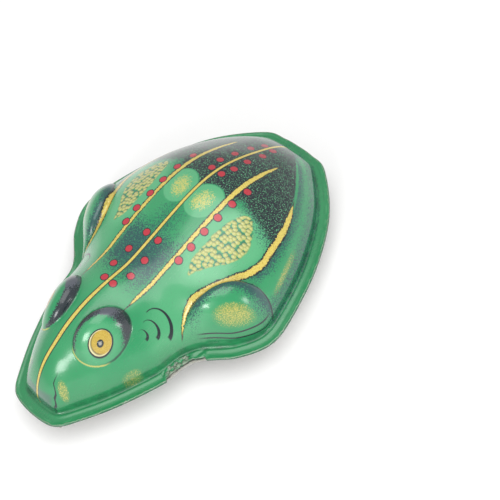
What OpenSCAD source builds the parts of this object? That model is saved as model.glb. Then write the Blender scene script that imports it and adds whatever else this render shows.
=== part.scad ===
// Tin wind-up jumping frog. Millimetres. X is across the frog (its left side is +X),
// -Y is the snout, +Y is the tail, Z is up and the feet stand on z = 0.

/* [Body] */
// Length over the flange, snout to tail
frog_l = 125; // [110:1:150]
// Width over the flange at the shoulders
frog_w = 85.4; // [80:0.2:104]
// Height of the crown above the flange
dome_h = 26.6; // [25:0.2:34]
// Width of the flat flange
flange_w = 4.5; // [3:0.1:6]
// Height of the upright wall where the back leaves the flange
wall_h = 3; // [1:0.1:5]
// Sheet thickness of the printed shell
shell_t = 0.5; // [0.4:0.05:0.8]
// Thickness of the base plate
base_t = 0.4; // [0.3:0.05:0.8]
// Height of the base plate above the table
stand_h = 10; // [9.9:0.1:13]
// Rise of the eye domes
eye_rise = 3.6; // [1:0.1:5]
// Rise of the front leg bumps
leg_rise = 4.2; // [1:0.1:5]

/* [Movement] */
// Thickness of the two movement plates
plate_t = 0.8; // [0.6:0.05:1.2]
// Clear height between the movement plates
plate_gap = 12.6; // [12.6:0.1:14]
// Teeth on the great wheel
great_teeth = 36; // [32:1:38]
// Teeth on every pinion
pinion_teeth = 10; // [10:1:12]
// Gear module of the first pair
mod_a = 0.8; // [0.7:0.01:0.82]
// Gear module of the second pair
mod_b = 0.7; // [0.6:0.01:0.72]
// Gear module of the third pair
mod_c = 0.6; // [0.5:0.01:0.62]
// Thickness of the wheels
wheel_t = 1; // [0.6:0.05:1.2]
// Running clearance on the radius of every pivot
run_fit = 0.05; // [0.02:0.01:0.1]
// Radius of the winding arbor
arbor_r = 1.5; // [1.2:0.05:1.8]
// Width of the mainspring strip
spring_w = 6; // [3:0.1:6.1]
// Largest radius of the snail cam
cam_r = 7.4; // [6:0.1:7.4]

/* [Key] */
// Width across the key wings
key_w = 18; // [12:0.5:24]
// Thickness of the key wings
key_t = 1.4; // [1:0.1:2]

/* [Kicker] */
// Height of the kicker pivot above the table
pivot_z = 6.5; // [5:0.1:6.6]
// Radius of the kicker pin
pin_r = 1.2; // [0.8:0.05:1.4]
// Half the distance between the hind legs
hind_x = 14.4; // [10:0.1:15]
// Thickness of the leg strips
leg_t = 1.2; // [0.8:0.1:1.6]
// Width of a webbed hind foot
web_w = 12; // [8:0.5:14]
// Thickness of the foot pads
foot_t = 0.9; // [0.6:0.1:1.2]

/* [Hidden] */
$fn = 48;
// Half outline of the flange from snout to tail, as fractions of half the width and half the length
outline = [[0, -1], [0.152, -0.990], [0.239, -0.960], [0.318, -0.886], [0.461, -0.710],
    [0.600, -0.478], [0.663, -0.298], [0.881, -0.144], [1, 0.016], [0.972, 0.197],
    [0.836, 0.491], [0.616, 0.762], [0.316, 0.963], [0.141, 0.995], [0, 1]];
// Height of the crown along the middle, as fractions of its greatest height, evenly spaced
crown = [0.66, 0.84, 0.90, 0.85, 0.917, 0.974, 0.985, 0.82, 0.53];
crown_step = 0.192;
spine_k = 0.74;
dome_p = 0.75;
steps = 6;
last = len(outline) - 1;
n_half = last * steps;
n_ring = 2 * n_half;
n_rad = 13;
base_z = stand_h;
base_top = base_z + base_t;
flange_z = base_top + shell_t;
// eye domes and front leg bumps, as fractions of the body
eye_at = [0.215, -0.54];
eye_size = [6.5, 9.2];
leg_at = [0.714, -0.048];
leg_size = [14, 9];
leg_turn = 56;
// movement
low_z = base_top + 2.6;
low_top = low_z + plate_t;
up_z = low_top + plate_gap;
up_top = up_z + plate_t;
pa = 25;
add_k = 0.8;
ded_k = 1.05;
slack_k = 0.06;
dist_a = mod_a * (great_teeth + pinion_teeth) / 2;
dist_b = mod_b * (great_teeth + pinion_teeth) / 2;
fly_teeth = 24;
dist_c = mod_c * (fly_teeth + pinion_teeth) / 2;
a1 = [0, -8];
ang_a = 119.3;
a2 = a1 + dist_a * [cos(ang_a), sin(ang_a)];
a3 = [0, a2[1] + sqrt(dist_b * dist_b - a2[0] * a2[0])];
ang_b = atan2(a3[1] - a2[1], a3[0] - a2[0]);
ang_c = 35;
a4 = a3 + dist_c * [cos(ang_c), sin(ang_c)];
great_r = mod_a * (great_teeth / 2 + add_k);
wheel_r = mod_b * (great_teeth / 2 + add_k);
fly_wheel_r = mod_c * (fly_teeth / 2 + add_k);
great_z = low_top + 0.8;
ratchet_z = great_z + wheel_t + 0.3;
ratchet_r = 6;
ratchet_teeth = 12;
spring_z = ratchet_z + wheel_t + 0.9;
spring_r = 13;
spring_turns = 5;
strip_t = 0.5;
wheel2_z = up_z - 1 - wheel_t;
cam_z = low_top + 5.7;
cam_t = 2;
fly_z = low_top + 1.2;
fly_t = 2.5;
fly_r = 7;
third_z = cam_z + cam_t + 0.8;
small_r = 1;
pivot_r = 0.8;
pillar_r = 2;
tenon_r = 1.2;
kick_y = a3[1] - cam_r - 0.4 - leg_t / 2;
pillars_at = [[10.5, -22.5], [-10.5, -22.5], [16, kick_y - 8], [-11, a3[1] + 3.6]];
plate_shape = [[9, -26], [13.5, -21.5], [14, -8], [19, 8], [19.5, 17], [14, a4[1] + 4.5],
    [4, a4[1] + 6], [-8, a4[1] + 6], [-15, a3[1] + 6.6], [-15, 20], [-14, 12], [-14, 0],
    [-13.5, -21.5], [-9, -26]];
click_at = 11;
click_ang = 60;
// kicker
tube_r = pin_r + run_fit + 0.9;
ring_r = tube_r + 0.8;
tube_x = 17.6;
ear_x = 18;
ear_t = 1;
flap_t = 0.8;
arm_w = 4;
arm_top = cam_z + cam_t + 0.3;
foot_back = 19;
key_hub_r = 2.8;
key_low = 1.8;
key_top = base_z - 0.6;
rivet_r = 1;
front_x = 16.6;
front_y = -31;
front_rivet_x = 12;
ear_rivet_x = 22.5;
rivets_at = [[front_rivet_x, front_y], [-front_rivet_x, front_y],
    [ear_rivet_x, kick_y], [-ear_rivet_x, kick_y]];
tab_stations = [9, 26, 50, 66];

// ---- shape of the body ----

function mirror_x(p) = [-p[0], p[1]];

function knot(i) = i < 0 ? mirror_x(outline[-i]) :
    i > last ? mirror_x(outline[2 * last - i]) : outline[i];

function curve(a, b, c, d, u) = 0.5 * (2 * b + (c - a) * u
    + (2 * a - 5 * b + 4 * c - d) * u * u + (3 * b - a - 3 * c + d) * u * u * u);

function slope(a, b, c, d, u) = 0.5 * (c - a
    + 2 * (2 * a - 5 * b + 4 * c - d) * u + 3 * (3 * b - a - 3 * c + d) * u * u);

function real_size(p) = [p[0] * frog_w / 2, p[1] * frog_l / 2];

function seg_of(j) = min(floor(j / steps), last - 1);

function edge(j) = let (i = seg_of(j), u = j / steps - i)
    real_size(curve(knot(i - 1), knot(i), knot(i + 1), knot(i + 2), u));

function along(j) = let (i = seg_of(j), u = j / steps - i)
    real_size(slope(knot(i - 1), knot(i), knot(i + 1), knot(i + 2), u));

// outward direction at a station of the half outline
function outward(j) = let (t = along(j)) [t[1], -t[0]] / norm(t);

// a point of the outline moved inward by d
function inner(j, d) = edge(j) - d * outward(j);

function crown_at(y) = let (
        s = y / (frog_l / 2) / crown_step + (len(crown) - 1) / 2,
        i = max(1, min(floor(s), len(crown) - 3)),
        u = s - i)
    dome_h * curve(crown[i - 1], crown[i], crown[i + 1], crown[i + 2], u);

// smooth oval rise, full in the middle and zero at its edge
function rise(x, y, at, size, turn, h) = let (
        dx = x - at[0],
        dy = y - at[1],
        u = (dx * cos(turn) + dy * sin(turn)) / size[0],
        v = (dy * cos(turn) - dx * sin(turn)) / size[1],
        q = u * u + v * v)
    q >= 1 ? 0 : h * pow(1 - q, 0.85);

function bumps(x, y) = rise(abs(x), y, real_size(eye_at), eye_size, 0, eye_rise)
    + rise(abs(x), y, real_size(leg_at), leg_size, leg_turn, leg_rise);

// height of the shell above the flange, part t of the way from the spine to the wall
function skin(x, y, t, ys) = wall_h + (crown_at(ys) - wall_h) * pow(max(0, 1 - t * t), dome_p)
    + bumps(x, y) * (1 - pow(t, 8));

function part_of(k) = 1 - pow(1 - k / n_rad, 1.5);

// point k of the radial line at station j; drop is 0 outside and the sheet thickness inside
function skin_at(j, k, drop) = let (
        t = part_of(k),
        b = inner(j, flange_w),
        c = inner(j, flange_w + drop),
        ys = spine_k * b[1],
        x = b[0] * t,
        y = ys + (b[1] - ys) * t)
    [c[0] * t, spine_k * c[1] * (1 - t) + c[1] * t, flange_z + skin(x, y, t, ys) - drop];

function spin_of(i) = i <= n_half ? i : n_ring - i;

function sided(i, p) = i <= n_half ? p : [-p[0], p[1], p[2]];

function ring_of(k, drop) = [for (i = [0 : n_ring - 1]) sided(i, skin_at(spin_of(i), k, drop))];

function flat_ring(d, z) = [for (i = [0 : n_ring - 1])
    let (p = inner(spin_of(i), d)) sided(i, [p[0], p[1], z])];

function spine(drop) = [for (j = [0 : n_half]) skin_at(j, 0, drop)];

// two triangles between neighbouring points of two rings
function band(a, b, i) = let (j = (i + 1) % n_ring)
    [[a + i, a + j, b + j], [a + i, b + j, b + i]];

function fan(s, a, i, flip) = let (
        j = (i + 1) % n_ring,
        p = spin_of(i),
        q = spin_of(j))
    flip ? [[a + i, a + j, s + q], [a + i, s + q, s + p]]
        : [[s + p, s + q, a + j], [s + p, a + j, a + i]];

module shell_solid() {
    rings = concat(
        [for (k = [1 : n_rad]) ring_of(k, 0)],
        [flat_ring(flange_w, flange_z), flat_ring(0, flange_z), flat_ring(0, base_top),
            flat_ring(flange_w + shell_t, base_top)],
        [for (k = [n_rad : -1 : 1]) ring_of(k, shell_t)]);
    first = n_half + 1;
    tail = first + len(rings) * n_ring;
    points = concat(spine(0), [for (r = rings) for (p = r) p], spine(shell_t));
    faces = concat(
        [for (i = [0 : n_ring - 1]) for (f = fan(0, first, i, false)) f],
        [for (r = [0 : len(rings) - 2]) for (i = [0 : n_ring - 1])
            for (f = band(first + r * n_ring, first + (r + 1) * n_ring, i)) f],
        [for (i = [0 : n_ring - 1]) for (f = fan(tail, tail - n_ring, i, true)) f]);
    polyhedron(points, faces, convexity = 8);
}

module body_plate(d, z, t) {
    translate([0, 0, z])
        linear_extrude(t)
            polygon([for (i = [0 : n_ring - 1])
                let (p = inner(spin_of(i), d)) [i <= n_half ? p[0] : -p[0], p[1]]]);
}

// one bent tab of the shell, gripping the base plate at station j
module tab_at(j) {
    p = edge(j);
    n = outward(j);
    translate([p[0], p[1], 0])
        rotate(atan2(n[1], n[0])) {
            translate([-0.85, -2.5, base_z - 0.4])
                cube([0.4, 5, base_t + 0.4]);
            translate([-4, -2.5, base_z - 0.4])
                cube([3.15, 5, 0.4]);
        }
}

module all_tabs() {
    for (j = tab_stations) {
        tab_at(j);
        mirror([1, 0, 0])
            tab_at(j);
    }
}

module top_shell() {
    color([0.24, 0.62, 0.38])
        shell_solid();
}

module shell_tabs() {
    color([0.72, 0.72, 0.68])
        all_tabs();
}

module base_plate() {
    color([0.66, 0.66, 0.62])
        difference() {
            body_plate(0.6, base_z, base_t);
            all_tabs();
            translate([a1[0], a1[1], 0])
                cylinder(r = arbor_r + 0.5, h = 60);
            for (p = pillars_at)
                translate([p[0], p[1], 0])
                    cylinder(r = tenon_r, h = 60);
            for (p = rivets_at)
                translate([p[0], p[1], 0])
                    cylinder(r = rivet_r, h = 60);
            translate([-arm_w / 2 - 0.8, kick_y - 2.6, base_z - 1])
                cube([arm_w + 1.6, 4.2, 3]);
        }
}

// ---- movement frame ----

module frame_plate(z) {
    difference() {
        translate([0, 0, z])
            linear_extrude(plate_t)
                polygon(plate_shape);
        translate([a1[0], a1[1], 0])
            cylinder(r = arbor_r + run_fit, h = 60);
        for (p = [a2, a3, a4])
            translate([p[0], p[1], 0])
                cylinder(r = pivot_r + run_fit, h = 60);
        for (p = pillars_at)
            translate([p[0], p[1], 0])
                cylinder(r = tenon_r, h = 60);
    }
}

module lower_plate() {
    color([0.78, 0.68, 0.4])
        difference() {
            frame_plate(low_z);
            translate([-arm_w / 2 - 0.8, kick_y - 3.2, low_z - 1])
                cube([arm_w + 1.6, 4.8, plate_t + 2]);
        }
}

module upper_plate() {
    color([0.78, 0.68, 0.4])
        frame_plate(up_z);
}

module pillars() {
    color([0.7, 0.7, 0.72])
        for (p = pillars_at)
            translate([p[0], p[1], 0])
                rotate_extrude()
                    polygon([[0, base_z - 0.6], [1.9, base_z - 0.6], [2.3, base_z],
                        [tenon_r, base_z], [tenon_r, base_top], [pillar_r, base_top],
                        [pillar_r, low_z], [tenon_r, low_z], [tenon_r, low_top],
                        [pillar_r, low_top], [pillar_r, up_z], [tenon_r, up_z],
                        [tenon_r, up_top], [1.8, up_top], [1.4, up_top + 0.6],
                        [0, up_top + 0.6]]);
}

// ---- gears ----

function involute(a) = tan(a) * 180 / PI - a;

function half_tooth(z, m, r) = let (rp = m * z / 2, rb = rp * cos(pa))
    90 / z - slack_k * m / 2 / rp * 180 / PI + involute(pa)
        - (r > rb ? involute(acos(rb / r)) : 0);

function polar(r, a) = [r * cos(a), r * sin(a)];

// outline of one gear with a tooth centred on the direction turn
module gear_shape(z, m, turn) {
    rp = m * z / 2;
    ra = rp + add_k * m;
    rf = rp - ded_k * m;
    r0 = max(rf, rp * cos(pa));
    radii = concat([rf], [for (k = [0 : 4]) r0 + (ra - r0) * k / 4 + 0.01 * m]);
    polygon([for (i = [0 : z - 1]) each concat(
        [for (r = radii) polar(r, turn + 360 * i / z - half_tooth(z, m, r))],
        [for (k = [len(radii) - 1 : -1 : 0])
            polar(radii[k], turn + 360 * i / z + half_tooth(z, m, radii[k]))])]);
}

module gear(at, z0, t, z, m, turn, bore) {
    translate([at[0], at[1], z0])
        difference() {
            linear_extrude(t)
                gear_shape(z, m, turn);
            translate([0, 0, -1])
                cylinder(r = bore, h = t + 2);
        }
}

module three_holes(at, z0, ring, r) {
    for (a = [30, 150, 270])
        translate([at[0] + ring * cos(a), at[1] + ring * sin(a), z0 - 1])
            cylinder(r = r, h = 6);
}

// turned arbor between the plates with a pivot at each end
module turned(at, body) {
    translate([at[0], at[1], 0])
        rotate_extrude()
            polygon([[0, low_z - 0.5], [pivot_r, low_z - 0.5], [pivot_r, low_top + 0.25],
                [body, low_top + 0.25], [body, up_z - 0.25], [pivot_r, up_z - 0.25],
                [pivot_r, up_top + 0.4], [0, up_top + 0.4]]);
}

module winding_arbor() {
    color([0.7, 0.7, 0.72])
        translate([a1[0], a1[1], 0])
            rotate_extrude()
                polygon([[0, key_low + 0.4], [arbor_r, key_low + 0.4], [arbor_r, up_top + 0.5],
                    [arbor_r - 0.3, up_top + 0.8], [0, up_top + 0.8]]);
}

module great_wheel() {
    color([0.83, 0.69, 0.35])
        difference() {
            union() {
                gear(a1, great_z, wheel_t, great_teeth, mod_a, ang_a, arbor_r);
                translate([a1[0], a1[1], low_top + 0.3])
                    difference() {
                        cylinder(r = 3, h = great_z - low_top - 0.3);
                        translate([0, 0, -1])
                            cylinder(r = arbor_r, h = 4);
                    }
            }
            three_holes(a1, great_z, 8.4, 2.6);
            translate([a1[0], a1[1], great_z - 1])
                rotate(click_ang)
                    translate([click_at, 0, 0])
                        cylinder(r = 0.7, h = 4);
        }
}

module ratchet_wheel() {
    pitch = 360 / ratchet_teeth;
    color([0.7, 0.7, 0.72])
        translate([a1[0], a1[1], ratchet_z])
            difference() {
                linear_extrude(wheel_t)
                    polygon([for (i = [0 : ratchet_teeth - 1]) each
                        [polar(ratchet_r, click_ang - 59.7 + i * pitch),
                            polar(ratchet_r - 1.1, click_ang - 58.7 + i * pitch),
                            polar(ratchet_r - 0.55, click_ang - 59.2 + (i + 0.5) * pitch)]]);
                translate([0, 0, -1])
                    cylinder(r = arbor_r, h = wheel_t + 2);
            }
}

module click() {
    color([0.7, 0.7, 0.72])
        translate([a1[0], a1[1], ratchet_z])
            rotate(click_ang)
                difference() {
                    union() {
                        translate([click_at, 0, 0])
                            cylinder(r = 1.7, h = wheel_t);
                        linear_extrude(wheel_t)
                            polygon([[3.07, -4.38], [3.49, -5.37], [click_at + 0.4, -1.5],
                                [click_at, 0], [click_at - 1.4, -0.6], [5.63, -3.25],
                                [4.1, -4.1]]);
                    }
                    translate([click_at, 0, -1])
                        cylinder(r = 0.7 + run_fit, h = wheel_t + 2);
                }
}

module click_rivet() {
    color([0.7, 0.7, 0.72])
        translate([a1[0], a1[1], 0])
            rotate(click_ang)
                translate([click_at, 0, 0])
                    rotate_extrude()
                        polygon([[0, great_z], [0.7, great_z],
                            [0.7, ratchet_z + wheel_t + 0.1],
                            [1.3, ratchet_z + wheel_t + 0.1],
                            [1.1, ratchet_z + wheel_t + 0.5], [0, ratchet_z + wheel_t + 0.5]]);
}

// bent leaf that presses the click into the ratchet teeth
module click_spring() {
    color([0.7, 0.7, 0.72])
        translate([a1[0], a1[1], great_z + wheel_t])
            rotate(click_ang)
                linear_extrude(1.2)
                    polygon([[3.8, -12.4], [4.6, -12.2], [9, -9], [9.9, -5.6], [9, -3.4],
                        [8.6, -3.6], [9.3, -5.6], [8.6, -8.7], [3.8, -11.9]]);
}

// direction from the winding arbor to the pillar that holds the mainspring, and its distance
hook_to = pillars_at[0] - a1;
hook_ang = atan2(hook_to[1], hook_to[0]);

module mainspring() {
    n = spring_turns * 24;
    function coil_r(i) = 3.3 + (spring_r - strip_t - 3.3) * i / n;
    function coil_a(i) = hook_ang - (n - i) * 15;
    // the two ends start inside the strip's thickness and a little in from its cut ends
    bite = 0.15;
    hook_r = spring_r - strip_t + bite;
    tongue_r = arbor_r + 0.35;
    color([0.42, 0.44, 0.5])
        translate([a1[0], a1[1], spring_z])
            difference() {
                union() {
                    linear_extrude(spring_w)
                        polygon(concat([for (i = [0 : n]) polar(coil_r(i), coil_a(i))],
                            [for (i = [n : -1 : 0]) polar(coil_r(i) + strip_t, coil_a(i))]));
                    rotate(hook_ang)
                        translate([hook_r, -strip_t - bite, 0])
                            cube([norm(hook_to) - pillar_r - bite - hook_r, strip_t, spring_w]);
                    rotate(hook_ang - 360 * spring_turns)
                        translate([tongue_r, bite, 0])
                            cube([3.3 + strip_t / 2 - tongue_r, strip_t, spring_w]);
                    translate(hook_to)
                        cylinder(r = pillar_r + 0.6, h = spring_w);
                }
                translate([hook_to[0], hook_to[1], -1])
                    cylinder(r = pillar_r, h = spring_w + 2);
            }
}

module second_arbor() {
    color([0.7, 0.7, 0.72])
        turned(a2, small_r);
}

module second_pinion() {
    color([0.7, 0.7, 0.72])
        gear(a2, great_z - 0.4, wheel_t + 0.8, pinion_teeth, mod_a,
            ang_a + 180 - 180 / pinion_teeth, small_r);
}

module second_wheel() {
    color([0.83, 0.69, 0.35])
        difference() {
            gear(a2, wheel2_z, wheel_t, great_teeth, mod_b, ang_b, small_r);
            three_holes(a2, wheel2_z, 7.4, 2.4);
        }
}

module cam_arbor() {
    color([0.7, 0.7, 0.72])
        turned(a3, small_r);
}

module cam_pinion() {
    color([0.7, 0.7, 0.72])
        gear(a3, wheel2_z - 0.3, wheel_t + 0.8, pinion_teeth, mod_b,
            ang_b + 180 - 180 / pinion_teeth, small_r);
}

module snail_cam() {
    color([0.7, 0.7, 0.72])
        translate([a3[0], a3[1], cam_z])
            difference() {
                linear_extrude(cam_t)
                    polygon([for (i = [0 : 60]) polar(cam_r - 2.8 + 2.8 * i / 60, 5.6 * i - 60)]);
                translate([0, 0, -1])
                    cylinder(r = small_r, h = cam_t + 2);
            }
}

module third_wheel() {
    color([0.83, 0.69, 0.35])
        gear(a3, third_z, wheel_t * 0.8, fly_teeth, mod_c, ang_c, small_r);
}

module fly_arbor() {
    color([0.7, 0.7, 0.72])
        turned(a4, small_r);
}

module fly_pinion() {
    color([0.7, 0.7, 0.72])
        gear(a4, third_z - 0.3, wheel_t + 0.4, pinion_teeth, mod_c,
            ang_c + 180 - 180 / pinion_teeth, small_r);
}

module flywheel() {
    color([0.83, 0.69, 0.35])
        translate([a4[0], a4[1], fly_z])
            difference() {
                rotate_extrude()
                    polygon([[small_r, 0], [2.4, 0], [2.4, 0.8], [fly_r - 1.6, 0.8],
                        [fly_r - 1.6, 0], [fly_r, 0], [fly_r, fly_t], [fly_r - 1.6, fly_t],
                        [fly_r - 1.6, fly_t - 0.8], [2.4, fly_t - 0.8], [2.4, fly_t],
                        [small_r, fly_t]]);
            }
}

// ---- key ----

module key() {
    color([0.72, 0.72, 0.7])
        translate([a1[0], a1[1], 0])
            difference() {
                union() {
                    translate([0, 0, key_low])
                        cylinder(r = key_hub_r, h = key_top - key_low);
                    for (s = [-1, 1])
                        translate([s * (key_w / 2 - 3.5), 0, (key_low + key_top) / 2])
                            rotate([90, 0, 0])
                                cylinder(r = 3.5, h = key_t, center = true);
                    translate([-key_w / 2 + 3.5, -key_t / 2, (key_low + key_top) / 2 - 1.8])
                        cube([key_w - 7, key_t, 3.6]);
                }
                for (s = [-1, 1])
                    translate([s * (key_w / 2 - 3.3), 0, (key_low + key_top) / 2])
                        rotate([90, 0, 0])
                            cylinder(r = 1.5, h = key_t + 2, center = true);
                translate([0, 0, key_low + 0.4])
                    cylinder(r = arbor_r, h = 20);
            }
}

// ---- kicker ----

// a cylinder along X between x0 and x1, on the kicker pivot
module on_pivot(r, x0, x1) {
    translate([x0, kick_y, pivot_z])
        rotate([0, 90, 0])
            cylinder(r = r, h = x1 - x0);
}

module kicker_pin() {
    color([0.7, 0.7, 0.72]) {
        on_pivot(pin_r, -ear_x - ear_t, ear_x + ear_t);
        on_pivot(pin_r + 0.7, ear_x + ear_t, ear_x + ear_t + 0.7);
        on_pivot(pin_r + 0.7, -ear_x - ear_t - 0.7, -ear_x - ear_t);
    }
}

module bracket() {
    difference() {
        union() {
            on_pivot(3, ear_x, ear_x + ear_t);
            translate([ear_x, kick_y - 3, pivot_z])
                cube([ear_t, 6, base_z - pivot_z]);
            translate([ear_x, kick_y - 3.5, base_z - flap_t])
                cube([8, 7, flap_t]);
        }
        on_pivot(pin_r, ear_x - 1, ear_x + ear_t + 1);
        translate([ear_rivet_x, kick_y, base_z - 3])
            cylinder(r = rivet_r, h = 6);
    }
}

module kicker_brackets() {
    color([0.66, 0.66, 0.62]) {
        bracket();
        mirror([1, 0, 0])
            bracket();
    }
}

module kicker_tube() {
    color([0.7, 0.7, 0.72])
        difference() {
            on_pivot(tube_r, -tube_x, tube_x);
            on_pivot(pin_r + run_fit, -tube_x - 1, tube_x + 1);
        }
}

module kicker_arm() {
    color([0.7, 0.7, 0.72])
        difference() {
            union() {
                on_pivot(ring_r, -arm_w / 2, arm_w / 2);
                translate([-arm_w / 2, kick_y - leg_t / 2, pivot_z])
                    cube([arm_w, leg_t, arm_top - pivot_z]);
            }
            on_pivot(tube_r, -arm_w, arm_w);
        }
}

module hind_leg() {
    difference() {
        union() {
            on_pivot(ring_r, hind_x - leg_t / 2, hind_x + leg_t / 2);
            translate([hind_x - leg_t / 2, 0, 0])
                rotate([90, 0, 90])
                    linear_extrude(leg_t)
                        polygon([[kick_y, pivot_z - ring_r], [kick_y + 1, pivot_z + ring_r - 0.2],
                            [kick_y + foot_back + 5.5, foot_t + 2.4],
                            [kick_y + foot_back + 6.5, foot_t],
                            [kick_y + foot_back + 0.5, foot_t]]);
        }
        on_pivot(tube_r, 0, 30);
    }
}

module hind_leg_left() {
    color([0.34, 0.6, 0.36])
        hind_leg();
}

module hind_leg_right() {
    color([0.34, 0.6, 0.36])
        mirror([1, 0, 0])
            hind_leg();
}

// webbed foot with three toes, heel on the y of the pivot plus foot_back
module hind_foot() {
    w = web_w / 2;
    translate([hind_x, kick_y + foot_back, 0])
        linear_extrude(foot_t)
            polygon([[-1.6, 0], [-w, 10.6], [-w * 0.72, 13.2], [-w * 0.42, 11.4], [0, 14.6],
                [w * 0.42, 11.4], [w * 0.72, 13.2], [w, 10.6], [1.6, 0]]);
}

module hind_foot_left() {
    color([0.34, 0.6, 0.36])
        hind_foot();
}

module hind_foot_right() {
    color([0.34, 0.6, 0.36])
        mirror([1, 0, 0])
            hind_foot();
}

// round wire wound along X on the pivot, from x = x0, with straight ends
module kicker_spring() {
    wire = 0.32;
    turns = 6;
    coil = tube_r + 0.25 + wire;
    pitch = 0.95;
    sides = 8;
    per = 20;
    n = turns * per;
    x0 = 4.2;
    // rings 0 and n + 2 end the straight tails, the others wind round the pivot
    function turn(i) = max(0, min(n, i - 1));
    function tail(i) = i == 0 ? 5.5 : i == n + 2 ? -6.5 : 0;
    // the moving tail slopes down, so that it clears the base plate when the legs lift
    function drop(i) = i == 0 ? -1.8 : 0;
    points = [for (i = [0 : n + 2]) for (k = [0 : sides - 1])
        let (a = 360 * turn(i) / per + 90, r = coil + wire * cos(360 * k / sides))
        [x0 + pitch * turn(i) / per + wire * sin(360 * k / sides),
            kick_y + r * cos(a) + tail(i), pivot_z + r * sin(a) + drop(i)]];
    faces = concat(
        [for (i = [0 : n + 1]) for (k = [0 : sides - 1])
            let (a = i * sides + k, b = i * sides + (k + 1) % sides)
            each [[a, b, b + sides], [a, b + sides, a + sides]]],
        [[for (k = [sides - 1 : -1 : 0]) k]],
        [[for (k = [0 : sides - 1]) (n + 2) * sides + k]]);
    color([0.42, 0.44, 0.5])
        polyhedron(points, faces, convexity = 12);
}

// ---- front feet and rivets ----

module front_foot() {
    difference() {
        union() {
            translate([front_x - 8, front_y - 3.5, base_z - flap_t])
                cube([8, 7, flap_t]);
            translate([front_x - flap_t, front_y - 2.6, foot_t])
                cube([flap_t, 5.2, base_z - foot_t]);
            translate([front_x, front_y, 0])
                linear_extrude(foot_t)
                    polygon([[0, 3], [-7.6, 3], [-8, 0], [-7, -3], [-5.4, -1.8], [-4, -4.6],
                        [-2.6, -1.8], [-1, -3.4], [0, -1.6]]);
        }
        translate([front_rivet_x, front_y, base_z - 3])
            cylinder(r = rivet_r, h = 6);
    }
}

module front_foot_left() {
    color([0.34, 0.6, 0.36])
        front_foot();
}

module front_foot_right() {
    color([0.34, 0.6, 0.36])
        mirror([1, 0, 0])
            front_foot();
}

module rivets() {
    color([0.7, 0.7, 0.72])
        for (p = rivets_at)
            translate([p[0], p[1], base_z - flap_t])
                rotate_extrude()
                    polygon([[0, -0.6], [1.2, -0.6], [1.8, 0], [rivet_r, 0],
                        [rivet_r, flap_t + base_t], [1.6, flap_t + base_t],
                        [1.2, flap_t + base_t + 0.5], [0, flap_t + base_t + 0.5]]);
}

top_shell();
shell_tabs();
base_plate();
lower_plate();
upper_plate();
pillars();
mainspring();
winding_arbor();
key();
great_wheel();
ratchet_wheel();
click();
click_rivet();
click_spring();
second_arbor();
second_pinion();
second_wheel();
cam_arbor();
cam_pinion();
snail_cam();
third_wheel();
fly_arbor();
fly_pinion();
flywheel();
kicker_pin();
kicker_brackets();
kicker_tube();
kicker_arm();
hind_leg_left();
hind_leg_right();
hind_foot_left();
hind_foot_right();
kicker_spring();
front_foot_left();
front_foot_right();
rivets();
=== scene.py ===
"""Tin wind-up jumping frog: printed shell, tinplate base, clockwork and studio stage."""

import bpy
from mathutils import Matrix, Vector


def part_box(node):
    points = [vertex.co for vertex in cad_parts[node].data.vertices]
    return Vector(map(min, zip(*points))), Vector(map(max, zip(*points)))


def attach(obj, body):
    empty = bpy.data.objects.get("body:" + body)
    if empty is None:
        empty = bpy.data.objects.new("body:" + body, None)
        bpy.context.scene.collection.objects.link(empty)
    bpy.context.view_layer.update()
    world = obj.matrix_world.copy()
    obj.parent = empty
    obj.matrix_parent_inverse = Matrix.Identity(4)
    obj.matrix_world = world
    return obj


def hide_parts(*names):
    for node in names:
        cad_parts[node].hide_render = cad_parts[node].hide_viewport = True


bl_info = {
    "name": "Tin wind-up frog",
    "version": (1, 0, 0),
    "blender": (4, 5, 0),
    "location": "3D View > Sidebar > Frog",
    "description": "Builds the pressed and printed shell, the metals and the stage of a clockwork frog",
    "category": "Object",
}

import math

import bpy
import numpy as np
from bpy.props import FloatProperty, FloatVectorProperty, PointerProperty
from bpy.types import Operator, Panel, PropertyGroup
from mathutils import Matrix, Quaternion, Vector

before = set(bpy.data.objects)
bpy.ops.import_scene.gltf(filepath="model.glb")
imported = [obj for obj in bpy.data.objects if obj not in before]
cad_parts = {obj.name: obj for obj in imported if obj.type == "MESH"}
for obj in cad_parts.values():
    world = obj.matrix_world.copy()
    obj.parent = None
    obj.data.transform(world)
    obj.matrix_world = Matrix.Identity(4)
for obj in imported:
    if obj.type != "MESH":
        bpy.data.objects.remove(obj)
MM = 0.001

# Half outline of the flange from snout to tail, as fractions of half the width and half the length
OUTLINE = (
    (0, -1), (0.152, -0.990), (0.239, -0.960), (0.318, -0.886), (0.461, -0.710),
    (0.600, -0.478), (0.663, -0.298), (0.881, -0.144), (1, 0.016), (0.972, 0.197),
    (0.836, 0.491), (0.616, 0.762), (0.316, 0.963), (0.141, 0.995), (0, 1),
)
# Crown height along the middle: place from snout (-) to tail (+), height above the flange, in mm
CROWN = (
    (-60, 23.2), (-52, 22.6), (-45, 22.2), (-38, 23.2), (-30, 23.9), (-22, 23.6), (-12, 22.6),
    (-4, 23.6), (7, 25.4), (15, 26.4), (22, 26.4), (30, 24.9), (38, 21.8), (46, 18.4),
    (53, 16.4), (60, 15),
)
# Flange section: inset from the outer edge and height above the flat, in mm
FLANGE = (
    (4.5, 2.2), (4.48, 1.4), (4.4, 0.75), (4.2, 0.35), (3.9, 0.18), (3.6, 0.2), (3.3, 0.26),
    (3.0, 0.24), (2.65, 0.12), (2.3, 0.04), (1.9, 0.02), (1.5, 0.04), (1.1, 0.1),
    (0.75, 0.2), (0.45, 0.24), (0.2, 0.16), (0.03, -0.04), (0.0, -0.3),
)


# ---------------------------------------------------------------- sizes and colours


def length_mm(name, about, value):
    """A length setting given in millimetres."""
    return FloatProperty(name=name, description=about, default=value * MM, unit="LENGTH")


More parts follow.
